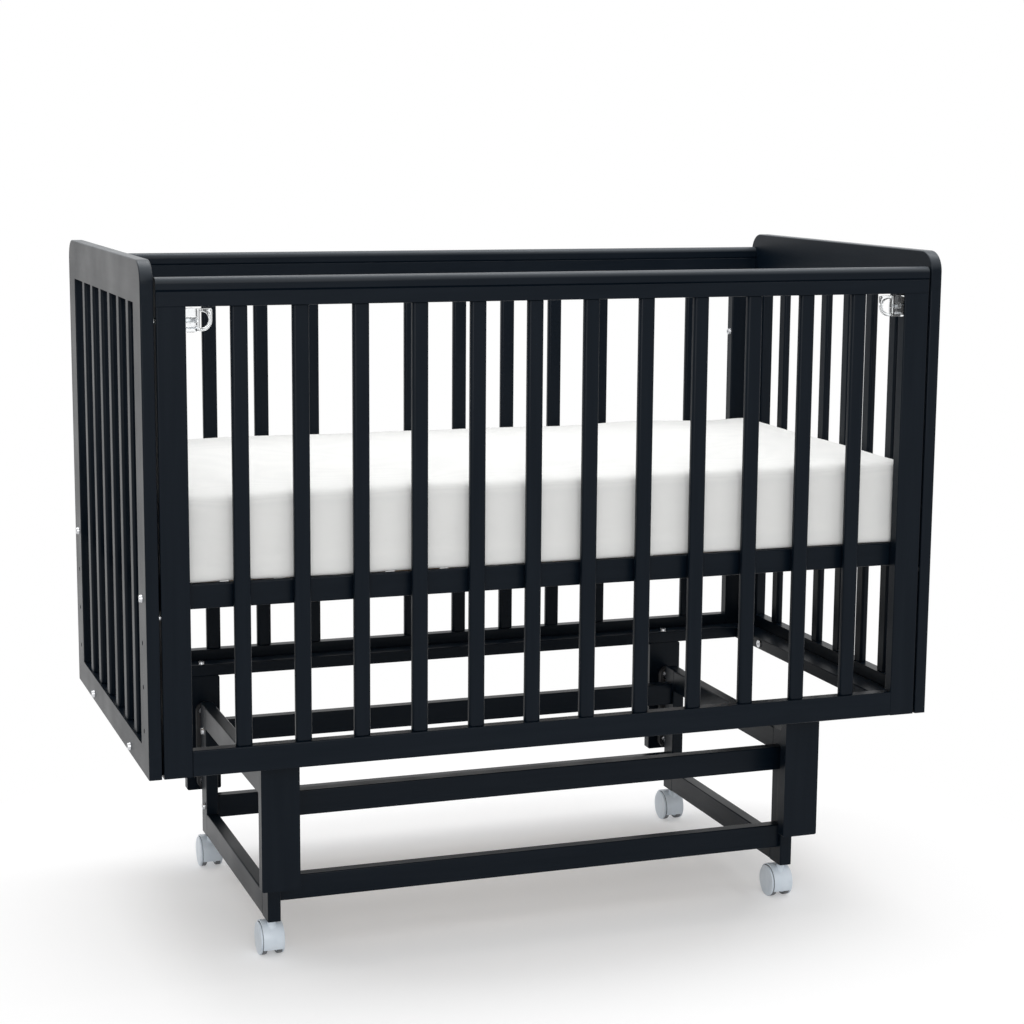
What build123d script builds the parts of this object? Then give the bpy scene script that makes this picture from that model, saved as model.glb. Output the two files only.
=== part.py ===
"""A slatted crib that hangs by four links in a low frame on casters.

Millimetres, +Z up. X runs along the crib, Y across it with the drop side at -Y,
and the origin lies on the floor under the middle of the crib.
"""

import os

from build123d import *

os.makedirs("parts", exist_ok=True)

# Crib body: a mattress of 1200 by 600 lies between the panels
inner_length = 1206.0
body_depth = 640.0
body_bottom = 319.0
end_thickness = 18.5
side_thickness = 20.0
edge_round = 2.0

# End panels
end_stile_width = 57.0
end_rail_height = 40.0
end_stile_height = 631.5
end_board_height = 60.5
end_board_corner = 32.0
end_slat_count = 6

# Front and back panels, whose cap rails end below the tops of the end boards
side_stile_width = 44.6
side_rail_height = 38.0
side_top_drop = 23.5
side_top_rail_height = 22.0
cap_height = 18.5
cap_round = 9.0
cap_groove = 1.6
side_slat_count = 12

# Slats
slat_width = 24.0
slat_thickness = 12.0
slat_round = 4.0
tenon_length = 8.0
tenon_width = 16.0
tenon_thickness = 7.0
tenon_gap = 0.1

# Drop side and the groove that guides it
drop_gap = 3.0
drop_travel = 170.0
guide_pin_diameter = 8.0
guide_pin_reach = 8.5
guide_pin_seat = 24.0
guide_pin_height = 232.0
groove_clearance = 0.3
groove_depth = 11.5
groove_margin = 2.0
slide_clearance = 0.3

# Latches
latch_drop = 19.0
latch_block_length = 16.0
latch_block_height = 33.0
latch_block_thickness = 14.0
latch_block_corner = 2.5
latch_bolt_diameter = 8.0
latch_bolt_reach = 8.0
ring_length = 23.0
ring_height = 33.0
ring_wall = 4.0
ring_thickness = 6.0
ring_gap = 0.3
latch_screw_diameter = 3.5
latch_screw_head = 6.0
latch_screw_head_depth = 2.0
latch_screw_drop = 11.0

# Bed base and mattress
bed_bolt_height = 256.5
bed_level_pitch = 64.0
bed_level_count = 4
bed_rail_height = 36.0
bed_rail_thickness = 20.0
bed_clearance = 3.0
batten_count = 14
batten_width = 55.0
batten_thickness = 10.0
batten_seat = 10.0
mattress_height = 132.0
mattress_clearance = 3.0
mattress_corner = 26.0
mattress_edge = 14.0
soft_gap = 0.3

# Bearer frame under the crib
bearer_width = 32.0
end_bearer_width = 40.0
bearer_thickness = 20.0
bearer_clearance = 2.0
bearer_bolt_y = 165.0

# Floor frame
stock_thickness = 20.0
stock_width = 38.0
frame_length = 867.0
frame_height = 222.0
beam_setback = 9.0
lower_beam_rise = 28.5
upper_beam_rise = 158.5

# Pendulum links
link_length = 120.0
link_width = 30.0
link_thickness = 10.0
pivot_diameter = 8.0
pivot_running_gap = 0.05
pivot_side_gap = 0.4
pivot_collar_diameter = 13.0
pivot_head_thickness = 5.0
pivot_seat_depth = 14.0
bearing_diameter = 22.0
bearing_width = 7.0
bearing_land = 3.0
bearing_shield_depth = 0.8

# Arms that carry the crib on the links
arm_width = 58.0
arm_thickness = 18.0
arm_gap = 28.0
arm_setback = 14.0
arm_below_pivot = 20.0
arm_corner = 3.0
barrel_nut_drop = 98.0
barrel_nut_diameter = 10.0
barrel_nut_length = 13.0
barrel_nut_slot = 1.6

# Bolts
bolt_diameter = 6.0
bolt_bore = 6.6
bolt_head_diameter = 12.0
bolt_head_height = 3.6
bolt_head_taper = 12.0
bolt_socket_width = 4.0
bolt_socket_depth = 2.2
bolt_grip = 40.0
bolt_tip_gap = 1.0
cap_nut_diameter = 8.0
cap_nut_length = 24.0
cap_nut_head_diameter = 13.0
cap_nut_head_height = 2.2
cap_nut_floor = 4.0
level_hole_diameter = 7.0
back_bolt_rise = 117.0
back_bolt_drop = 111.0

# Casters
caster_height = 60.0
wheel_diameter = 50.0
wheel_width = 10.0
wheel_gap = 0.7
wheel_rim = 2.0
wheel_crown = 1.2
hood_wall = 2.0
hood_web = 14.0
hood_clearance = 1.0
hood_skirt = 13.0
hood_boss_diameter = 13.0
hood_boss_rise = 3.0
caster_trail = 14.0
axle_diameter = 6.0
axle_cap = 3.0
stem_diameter = 8.0
stem_length = 32.0
stem_collar_diameter = 11.0
collar_gap = 0.5
socket_wall = 1.6
running_gap = 0.05

# Places worked out from the sizes above
inner_x = inner_length / 2
outer_x = inner_x + end_thickness
outer_y = body_depth / 2
side_inner_y = outer_y - side_thickness
side_mid_y = outer_y - side_thickness / 2
side_stile_inner = inner_x - side_stile_width
end_mid_x = inner_x + end_thickness / 2
end_stile_bottom = body_bottom + end_rail_height
end_stile_top = end_stile_bottom + end_stile_height
end_stile_inner_y = outer_y - end_stile_width
side_slat_bottom = body_bottom + side_rail_height
side_rail_top = end_stile_top + end_board_height - side_top_drop - cap_height
side_stile_top = side_rail_top - side_top_rail_height
back_bolt_levels = (body_bottom + back_bolt_rise, side_stile_top - back_bolt_drop)
drop_outer_x = inner_x - drop_gap
bed_bolt_z = body_bottom + bed_bolt_height
bed_top = bed_bolt_z + bed_rail_height / 2
bed_rail_outer_y = side_inner_y - bed_clearance
bed_rail_inner_y = bed_rail_outer_y - bed_rail_thickness
bed_bolt_y = bed_rail_outer_y - bed_rail_thickness / 2
bearer_outer_y = side_inner_y - bearer_clearance
bearer_inner_y = bearer_outer_y - bearer_width
bearer_inner_x = inner_x - end_bearer_width
bearer_top = body_bottom + bearer_thickness
bearer_bolt_z = body_bottom + bearer_thickness / 2
frame_bottom = caster_height
frame_top = frame_bottom + frame_height
frame_outer_x = frame_length / 2
frame_inner_x = frame_outer_x - stock_thickness
arm_inner_y = bearer_outer_y - arm_setback - arm_thickness
arm_mid_y = arm_inner_y + arm_thickness / 2
frame_outer_y = arm_inner_y - arm_gap
leg_x = frame_outer_x - stock_thickness / 2
leg_y = frame_outer_y - stock_width / 2
bar_end_y = frame_outer_y - stock_width
beam_y = frame_outer_y - beam_setback - stock_thickness / 2
lower_beam_z = frame_bottom + lower_beam_rise + stock_width / 2
upper_beam_z = frame_bottom + upper_beam_rise + stock_width / 2
upper_pivot_z = frame_top - stock_width / 2
lower_pivot_z = upper_pivot_z - link_length
arm_bottom = lower_pivot_z - arm_below_pivot
barrel_nut_z = body_bottom - barrel_nut_drop
link_mid_y = frame_outer_y + arm_gap / 2
latch_z = side_stile_top - latch_drop
guide_pin_z = body_bottom + guide_pin_height
wheel_radius = wheel_diameter / 2
hood_radius = wheel_radius + hood_clearance + hood_wall
hood_top = wheel_radius + hood_radius
boss_top = hood_top + hood_boss_rise
hood_width = hood_web + 2 * (wheel_gap + wheel_width + wheel_gap)
beam_points = [(s * beam_y, z) for s in (-1, 1) for z in (lower_beam_z, upper_beam_z)]
corners = [
    ("front_left", -1, -1),
    ("front_right", 1, -1),
    ("back_left", -1, 1),
    ("back_right", 1, 1),
]


def add_bolt(seat, length):
    """Add one round-headed bolt, its head standing on the seat plane, to the open part."""
    with BuildSketch(seat) as shank:
        Circle(bolt_diameter / 2)
    extrude(shank.sketch, amount=-length)
    with BuildSketch(seat) as head:
        Circle(bolt_head_diameter / 2)
    extrude(head.sketch, amount=bolt_head_height, taper=bolt_head_taper)
    with BuildSketch(seat.offset(bolt_head_height)) as key_socket:
        RegularPolygon(bolt_socket_width / 2, 6, major_radius=False)
    extrude(key_socket.sketch, amount=-bolt_socket_depth, mode=Mode.SUBTRACT)


def facing(x, y, z, direction):
    """Give the plane at a point that looks along a direction."""
    return Plane(origin=(x, y, z), z_dir=direction)


def add_cap_nut(seat):
    """Add one sleeve nut to the open part, its flat round head standing on the seat plane."""
    with BuildSketch(seat) as sleeve:
        Circle(cap_nut_diameter / 2)
    extrude(sleeve.sketch, amount=-cap_nut_length)
    with BuildSketch(seat) as head:
        Circle(cap_nut_head_diameter / 2)
    extrude(head.sketch, amount=cap_nut_head_height)
    with BuildSketch(seat.offset(cap_nut_head_height)) as key_socket:
        RegularPolygon(bolt_socket_width / 2, 6, major_radius=False)
    extrude(key_socket.sketch, amount=-bolt_socket_depth, mode=Mode.SUBTRACT)
    with BuildSketch(seat.offset(-cap_nut_length)) as bore:
        Circle(bolt_diameter / 2 + running_gap)
    extrude(bore.sketch, amount=cap_nut_length - cap_nut_floor, mode=Mode.SUBTRACT)


# Floor frame: four legs with their caster bores and bolt bores
with BuildPart() as legs:
    with BuildSketch(Plane.XY.offset(frame_bottom)):
        with GridLocations(2 * leg_x, 2 * leg_y, 2, 2):
            RectangleRounded(stock_thickness, stock_width, edge_round)
    extrude(amount=frame_height)
    with BuildSketch(Plane.XY.offset(frame_bottom)):
        with GridLocations(2 * leg_x, 2 * leg_y, 2, 2):
            Circle(stem_diameter / 2 + running_gap + socket_wall)
    extrude(amount=stem_length + socket_wall, mode=Mode.SUBTRACT)
    with BuildSketch(Plane.YZ.offset(-frame_outer_x)):
        with Locations(*beam_points):
            Circle(bolt_bore / 2)
    extrude(amount=frame_length, mode=Mode.SUBTRACT)
    with BuildSketch(Plane.XZ.offset(-frame_outer_y)):
        with Locations((-leg_x, upper_pivot_z), (leg_x, upper_pivot_z)):
            Circle(pivot_diameter / 2 + running_gap)
    extrude(amount=pivot_seat_depth, mode=Mode.SUBTRACT)
    with BuildSketch(Plane.XZ.offset(frame_outer_y)):
        with Locations((-leg_x, upper_pivot_z), (leg_x, upper_pivot_z)):
            Circle(pivot_diameter / 2 + running_gap)
    extrude(amount=-pivot_seat_depth, mode=Mode.SUBTRACT)
legs.part.label = "legs"
export_step(legs.part, "parts/legs.step")

# Floor frame: an upper and a lower bar between the two legs of each side
with BuildPart() as side_bars:
    with BuildSketch(Plane.XZ.offset(-bar_end_y)):
        for bar_z in (frame_bottom + stock_width / 2, frame_top - stock_width / 2):
            with Locations((-leg_x, bar_z), (leg_x, bar_z)):
                RectangleRounded(stock_thickness, stock_width, edge_round)
    extrude(amount=2 * bar_end_y)
side_bars.part.label = "side_bars"
export_step(side_bars.part, "parts/side_bars.step")

# Floor frame: four long beams bolted between the side frames
with BuildPart() as long_beams:
    with BuildSketch(Plane.YZ.offset(-frame_inner_x)):
        with Locations(*beam_points):
            RectangleRounded(stock_thickness, stock_width, edge_round)
    extrude(amount=2 * frame_inner_x)
    for side in (-1, 1):
        with BuildSketch(Plane.YZ.offset(side * frame_inner_x)):
            with Locations(*beam_points):
                Circle(bolt_bore / 2)
        extrude(amount=-side * bolt_grip, mode=Mode.SUBTRACT)
long_beams.part.label = "long_beams"
export_step(long_beams.part, "parts/long_beams.step")

with BuildPart() as frame_bolts:
    for side in (-1, 1):
        for bolt_y, bolt_z in beam_points:
            seat = facing(side * frame_outer_x, bolt_y, bolt_z, (side, 0, 0))
            add_bolt(seat, stock_thickness + bolt_grip - bolt_tip_gap)
frame_bolts.part.label = "frame_bolts"
export_step(frame_bolts.part, "parts/frame_bolts.step")

# Plastic sleeves in the leg ends that the caster stems turn in
with BuildPart() as caster_sockets:
    with BuildSketch(Plane.XY.offset(frame_bottom)):
        with GridLocations(2 * leg_x, 2 * leg_y, 2, 2):
            Circle(stem_diameter / 2 + running_gap + socket_wall)
    extrude(amount=stem_length + socket_wall)
    with BuildSketch(Plane.XY.offset(frame_bottom)):
        with GridLocations(2 * leg_x, 2 * leg_y, 2, 2):
            Circle(stem_diameter / 2 + running_gap)
    extrude(amount=stem_length, mode=Mode.SUBTRACT)
caster_sockets.part.label = "caster_sockets"
export_step(caster_sockets.part, "parts/caster_sockets.step")

# Pins on the legs' outer ends that the links hang from
with BuildPart() as upper_pivot_pins:
    for _, side, end in corners:
        outward = (0, end, 0)
        collar_length = arm_gap / 2 - link_thickness / 2 - pivot_side_gap
        seat = facing(side * leg_x, end * frame_outer_y, upper_pivot_z, outward)
        with BuildSketch(seat.offset(-pivot_seat_depth)):
            Circle(pivot_diameter / 2)
        extrude(amount=pivot_seat_depth + collar_length + link_thickness + 2 * pivot_side_gap)
        with BuildSketch(seat):
            Circle(pivot_collar_diameter / 2)
        extrude(amount=collar_length)
        with BuildSketch(seat.offset(collar_length + link_thickness + 2 * pivot_side_gap)):
            Circle(pivot_collar_diameter / 2)
        extrude(amount=pivot_head_thickness)
upper_pivot_pins.part.label = "upper_pivot_pins"
export_step(upper_pivot_pins.part, "parts/upper_pivot_pins.step")

# Casters: twin wheels under a hood, each set trailing towards +Y
for corner, side, end in corners:
    stem_x = side * leg_x
    stem_y = end * leg_y
    axle_y = stem_y + caster_trail
    mid_plane = Plane.YZ.offset(stem_x)
    skirt_y = axle_y - (hood_radius**2 - (wheel_radius - hood_skirt) ** 2) ** 0.5

    with BuildPart() as caster_hood:
        with BuildSketch(mid_plane):
            with BuildLine():
                ThreePointArc(
                    (skirt_y, hood_skirt),
                    (axle_y, hood_top),
                    (axle_y + hood_radius, wheel_radius),
                )
                Line((axle_y + hood_radius, wheel_radius), (skirt_y, hood_skirt))
            make_face()
        extrude(amount=hood_width / 2, both=True)
        with BuildSketch(Plane.XY.offset(wheel_radius)):
            with Locations((stem_x, stem_y)):
                Circle(hood_boss_diameter / 2)
        extrude(amount=boss_top - wheel_radius)
        for wheel_side in (-1, 1):
            cavity = mid_plane.offset(wheel_side * hood_web / 2)
            with BuildSketch(cavity):
                with Locations((axle_y, wheel_radius)):
                    Circle(wheel_radius + hood_clearance)
            extrude(amount=wheel_side * hood_width, mode=Mode.SUBTRACT)
        with BuildSketch(mid_plane):
            with Locations((axle_y, wheel_radius)):
                Circle(axle_diameter / 2)
        extrude(amount=hood_web, both=True, mode=Mode.SUBTRACT)
        with BuildSketch(Plane.XY.offset(wheel_radius)):
            with Locations((stem_x, stem_y)):
                Circle(stem_diameter / 2)
        extrude(amount=caster_height, mode=Mode.SUBTRACT)
    caster_hood.part.label = f"{corner}_caster_hood"
    export_step(caster_hood.part, f"parts/{corner}_caster_hood.step")

    with BuildPart() as caster_pins:
        with BuildSketch(mid_plane):
            with Locations((axle_y, wheel_radius)):
                Circle(axle_diameter / 2)
        extrude(amount=hood_web / 2 + wheel_gap + wheel_width - axle_cap - slide_clearance, both=True)
        with BuildSketch(Plane.XY.offset(wheel_radius)):
            with Locations((stem_x, stem_y)):
                Circle(stem_diameter / 2)
        extrude(amount=caster_height + stem_length - slide_clearance - wheel_radius)
        with BuildSketch(Plane.XY.offset(boss_top)):
            with Locations((stem_x, stem_y)):
                Circle(stem_collar_diameter / 2)
        extrude(amount=caster_height - collar_gap - boss_top)
    caster_pins.part.label = f"{corner}_caster_pins"
    export_step(caster_pins.part, f"parts/{corner}_caster_pins.step")

    with BuildPart() as caster_wheels:
        for wheel_side in (-1, 1):
            inner_face = wheel_side * (hood_web / 2 + wheel_gap)
            outer_face = inner_face + wheel_side * wheel_width
            bore_end = outer_face - wheel_side * axle_cap
            tread = wheel_radius - wheel_rim
            rim_edge = (outer_face - wheel_side * wheel_crown, tread)
            wheel_plane = Plane(origin=(stem_x, axle_y, wheel_radius), x_dir=(1, 0, 0), z_dir=(0, -1, 0))
            with BuildSketch(wheel_plane):
                with BuildLine():
                    Polyline(
                        (outer_face, 0),
                        (bore_end, 0),
                        (bore_end, axle_diameter / 2 + running_gap),
                        (inner_face, axle_diameter / 2 + running_gap),
                        (inner_face, tread),
                        (inner_face + wheel_side * wheel_rim, wheel_radius),
                        (outer_face - wheel_side * (wheel_crown + wheel_rim), wheel_radius),
                        rim_edge,
                    )
                    TangentArc((outer_face, 0), rim_edge, tangent=(0, 1))
                make_face()
            revolve(axis=Axis((stem_x, axle_y, wheel_radius), (1, 0, 0)))
    caster_wheels.part.label = f"{corner}_caster_wheels"
    export_step(caster_wheels.part, f"parts/{corner}_caster_wheels.step")

# Links with a bearing at each end, between the legs and the arms
for corner, side, end in corners:
    link_centre = (side * leg_x, end * link_mid_y, (upper_pivot_z + lower_pivot_z) / 2)
    pivots = [(side * leg_x, end * link_mid_y, z) for z in (upper_pivot_z, lower_pivot_z)]

    with BuildPart() as link:
        with BuildSketch(Plane(origin=link_centre, x_dir=(0, 0, 1), z_dir=(0, end, 0))):
            SlotCenterToCenter(link_length, link_width)
        extrude(amount=link_thickness / 2, both=True)
        for pivot in pivots:
            with BuildSketch(facing(*pivot, (0, end, 0))):
                Circle(bearing_diameter / 2)
            extrude(amount=link_thickness, both=True, mode=Mode.SUBTRACT)
    link.part.label = f"{corner}_link"
    export_step(link.part, f"parts/{corner}_link.step")

    with BuildPart() as link_bearings:
        for pivot in pivots:
            hub_plane = Plane(origin=pivot, x_dir=(1, 0, 0), z_dir=(0, 0, 1))
            bore = pivot_diameter / 2 + pivot_running_gap
            rim = bearing_diameter / 2
            face = bearing_width / 2
            shield = face - bearing_shield_depth
            with BuildSketch(hub_plane):
                with BuildLine():
                    Polyline(
                        (bore, -face),
                        (bore + bearing_land, -face),
                        (bore + bearing_land, -shield),
                        (rim - bearing_land, -shield),
                        (rim - bearing_land, -face),
                        (rim, -face),
                        (rim, face),
                        (rim - bearing_land, face),
                        (rim - bearing_land, shield),
                        (bore + bearing_land, shield),
                        (bore + bearing_land, face),
                        (bore, face),
                        (bore, -face),
                    )
                make_face()
            revolve(axis=Axis(pivot, (0, 1, 0)))
    link_bearings.part.label = f"{corner}_link_bearings"
    export_step(link_bearings.part, f"parts/{corner}_link_bearings.step")

# Bearers: the frame of flat bars inside the foot of the crib
with BuildPart() as long_bearers:
    with BuildSketch(Plane.YZ.offset(-inner_x)):
        for end in (-1, 1):
            with Locations((end * (bearer_inner_y + bearer_width / 2), bearer_bolt_z)):
                RectangleRounded(bearer_width, bearer_thickness, edge_round)
    extrude(amount=inner_length)
    with BuildSketch(Plane.XY.offset(body_bottom)):
        with GridLocations(2 * leg_x, 2 * arm_mid_y, 2, 2):
            Circle(bolt_bore / 2)
    extrude(amount=bearer_thickness, mode=Mode.SUBTRACT)
long_bearers.part.label = "long_bearers"
export_step(long_bearers.part, "parts/long_bearers.step")

with BuildPart() as end_bearers:
    with BuildSketch(Plane.XZ.offset(-bearer_inner_y)):
        for side in (-1, 1):
            with Locations((side * (bearer_inner_x + end_bearer_width / 2), bearer_bolt_z)):
                RectangleRounded(end_bearer_width, bearer_thickness, edge_round)
    extrude(amount=2 * bearer_inner_y)
    with BuildSketch(Plane.YZ.offset(-inner_x)):
        with Locations((-bearer_bolt_y, bearer_bolt_z), (bearer_bolt_y, bearer_bolt_z)):
            Circle(cap_nut_diameter / 2 + running_gap)
    extrude(amount=inner_length, mode=Mode.SUBTRACT)
end_bearers.part.label = "end_bearers"
export_step(end_bearers.part, "parts/end_bearers.step")

# Arms: boards under the long bearers, outside the legs
with BuildPart() as arms:
    for end in (-1, 1):
        arm_face = facing(0, end * arm_mid_y, 0, (0, end, 0))
        with BuildSketch(Plane.XZ.offset(-end * arm_mid_y)):
            for side in (-1, 1):
                with Locations((side * leg_x, (arm_bottom + body_bottom) / 2)):
                    RectangleRounded(arm_width, body_bottom - arm_bottom, arm_corner)
        extrude(amount=arm_thickness / 2, both=True)
        for side in (-1, 1):
            with BuildSketch(facing(side * leg_x, end * arm_inner_y, lower_pivot_z, (0, end, 0))):
                Circle(pivot_diameter / 2 + running_gap)
            extrude(amount=pivot_seat_depth, mode=Mode.SUBTRACT)
            with BuildSketch(facing(side * leg_x, end * arm_inner_y, barrel_nut_z, (0, end, 0))):
                Circle(barrel_nut_diameter / 2 + running_gap)
            extrude(amount=barrel_nut_length + running_gap, mode=Mode.SUBTRACT)
    with BuildSketch(Plane.XY.offset(body_bottom)):
        with GridLocations(2 * leg_x, 2 * arm_mid_y, 2, 2):
            Circle(bolt_bore / 2)
    extrude(amount=-barrel_nut_drop - barrel_nut_diameter / 2, mode=Mode.SUBTRACT)
arms.part.label = "arms"
export_step(arms.part, "parts/arms.step")

# Long bolts down through the bearers, and the slotted barrel nuts in the arms that hold them
with BuildPart() as arm_bolts:
    for _, side, end in corners:
        seat = facing(side * leg_x, end * arm_mid_y, bearer_top, (0, 0, 1))
        add_bolt(seat, bearer_top - barrel_nut_z + barrel_nut_diameter / 2)
arm_bolts.part.label = "arm_bolts"
export_step(arm_bolts.part, "parts/arm_bolts.step")

with BuildPart() as barrel_nuts:
    for _, side, end in corners:
        nut_face = facing(side * leg_x, end * arm_inner_y, barrel_nut_z, (0, end, 0))
        with BuildSketch(nut_face):
            Circle(barrel_nut_diameter / 2)
        extrude(amount=barrel_nut_length)
        with BuildSketch(nut_face):
            Rectangle(barrel_nut_diameter, barrel_nut_slot)
        extrude(amount=barrel_nut_slot, mode=Mode.SUBTRACT)
        with BuildSketch(facing(side * leg_x, end * arm_mid_y, barrel_nut_z, (0, 0, 1))):
            Circle(bolt_diameter / 2 + running_gap)
        extrude(amount=barrel_nut_diameter, both=True, mode=Mode.SUBTRACT)
barrel_nuts.part.label = "barrel_nuts"
export_step(barrel_nuts.part, "parts/barrel_nuts.step")

# Pins on the arms that the links carry
with BuildPart() as lower_pivot_pins:
    for _, side, end in corners:
        collar_length = arm_gap / 2 - link_thickness / 2 - pivot_side_gap
        seat = facing(side * leg_x, end * arm_inner_y, lower_pivot_z, (0, -end, 0))
        with BuildSketch(seat.offset(-pivot_seat_depth)):
            Circle(pivot_diameter / 2)
        extrude(amount=pivot_seat_depth + collar_length + link_thickness + 2 * pivot_side_gap)
        with BuildSketch(seat):
            Circle(pivot_collar_diameter / 2)
        extrude(amount=collar_length)
        with BuildSketch(seat.offset(collar_length + link_thickness + 2 * pivot_side_gap)):
            Circle(pivot_collar_diameter / 2)
        extrude(amount=pivot_head_thickness)
lower_pivot_pins.part.label = "lower_pivot_pins"
export_step(lower_pivot_pins.part, "parts/lower_pivot_pins.step")

# End panels
level_points = [
    (s * bed_bolt_y, bed_bolt_z - level * bed_level_pitch)
    for s in (-1, 1)
    for level in range(bed_level_count)
]
end_gap = (2 * end_stile_inner_y - end_slat_count * slat_width) / (end_slat_count + 1)
end_pitch = end_gap + slat_width
groove_width = guide_pin_diameter + 2 * groove_clearance
groove_bottom = guide_pin_z - drop_travel - groove_width / 2 - groove_margin
groove_top = latch_z + groove_width / 2 + groove_margin

for side_name, side in (("left", -1), ("right", 1)):
    with BuildPart() as end_stiles:
        with BuildSketch(Plane.XY.offset(end_stile_bottom)):
            with GridLocations(0, 2 * (outer_y - end_stile_width / 2), 1, 2):
                with Locations((side * end_mid_x, 0)):
                    RectangleRounded(end_thickness, end_stile_width, edge_round)
        extrude(amount=end_stile_height)
        with BuildSketch(Plane.YZ.offset(side * inner_x)):
            with Locations(*level_points):
                Circle(level_hole_diameter / 2)
        extrude(amount=side * end_thickness, mode=Mode.SUBTRACT)
        with BuildSketch(Plane.YZ.offset(side * inner_x)):
            with Locations((-side_mid_y, (groove_bottom + groove_top) / 2)):
                SlotOverall(groove_top - groove_bottom, groove_width, rotation=90)
        extrude(amount=side * groove_depth, mode=Mode.SUBTRACT)
        with BuildSketch(Plane.YZ.offset(side * inner_x)):
            with Locations(*[(side_mid_y, level) for level in back_bolt_levels]):
                Circle(bolt_bore / 2)
        extrude(amount=side * groove_depth, mode=Mode.SUBTRACT)
    end_stiles.part.label = f"{side_name}_end_stiles"
    export_step(end_stiles.part, f"parts/{side_name}_end_stiles.step")

    with BuildPart() as end_slats:
        with BuildSketch(Plane.XY.offset(end_stile_bottom)):
            with Locations((side * end_mid_x, 0)):
                with GridLocations(0, end_pitch, 1, end_slat_count):
                    RectangleRounded(slat_thickness, slat_width, slat_round)
        extrude(amount=end_stile_height)
        with BuildSketch(Plane.XY.offset(end_stile_bottom - tenon_length)):
            with Locations((side * end_mid_x, 0)):
                with GridLocations(0, end_pitch, 1, end_slat_count):
                    Rectangle(tenon_thickness, tenon_width)
        extrude(amount=end_stile_height + 2 * tenon_length)
    end_slats.part.label = f"{side_name}_end_slats"
    export_step(end_slats.part, f"parts/{side_name}_end_slats.step")

    with BuildPart() as end_bottom_rail:
        with BuildSketch(Plane.XY.offset(body_bottom)):
            with Locations((side * end_mid_x, 0)):
                RectangleRounded(end_thickness, body_depth, edge_round)
        extrude(amount=end_rail_height)
        with BuildSketch(Plane.YZ.offset(side * inner_x)):
            with Locations((-bearer_bolt_y, bearer_bolt_z), (bearer_bolt_y, bearer_bolt_z)):
                Circle(bolt_bore / 2)
        extrude(amount=side * end_thickness, mode=Mode.SUBTRACT)
        with BuildSketch(Plane.XY.offset(end_stile_bottom)):
            with Locations((side * end_mid_x, 0)):
                with GridLocations(0, end_pitch, 1, end_slat_count):
                    Rectangle(tenon_thickness + 2 * tenon_gap, tenon_width + 2 * tenon_gap)
        extrude(amount=-tenon_length - tenon_gap, mode=Mode.SUBTRACT)
    end_bottom_rail.part.label = f"{side_name}_end_bottom_rail"
    export_step(end_bottom_rail.part, f"parts/{side_name}_end_bottom_rail.step")

    with BuildPart() as end_top_board:
        with BuildSketch(Plane.YZ.offset(side * inner_x)) as board_outline:
            with Locations((0, end_stile_top + end_board_height / 2)):
                Rectangle(body_depth, end_board_height)
            fillet(board_outline.vertices().group_by(Axis.Y)[-1], end_board_corner)
        extrude(amount=side * end_thickness)
        face_edges = end_top_board.faces().filter_by(Axis.X).edges().sort_by(Axis.Z)
        fillet(face_edges[2:], edge_round)
        with BuildSketch(Plane.XY.offset(end_stile_top)):
            with Locations((side * end_mid_x, 0)):
                with GridLocations(0, end_pitch, 1, end_slat_count):
                    Rectangle(tenon_thickness + 2 * tenon_gap, tenon_width + 2 * tenon_gap)
        extrude(amount=tenon_length + tenon_gap, mode=Mode.SUBTRACT)
    end_top_board.part.label = f"{side_name}_end_top_board"
    export_step(end_top_board.part, f"parts/{side_name}_end_top_board.step")

# Back panel and drop side share one layout; the drop side is shorter by its gaps
side_gap = (2 * side_stile_inner - side_slat_count * slat_width) / (side_slat_count + 1)
side_pitch = side_gap + slat_width
side_panels = (("back", 1, inner_x), ("drop_side", -1, drop_outer_x))

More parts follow.
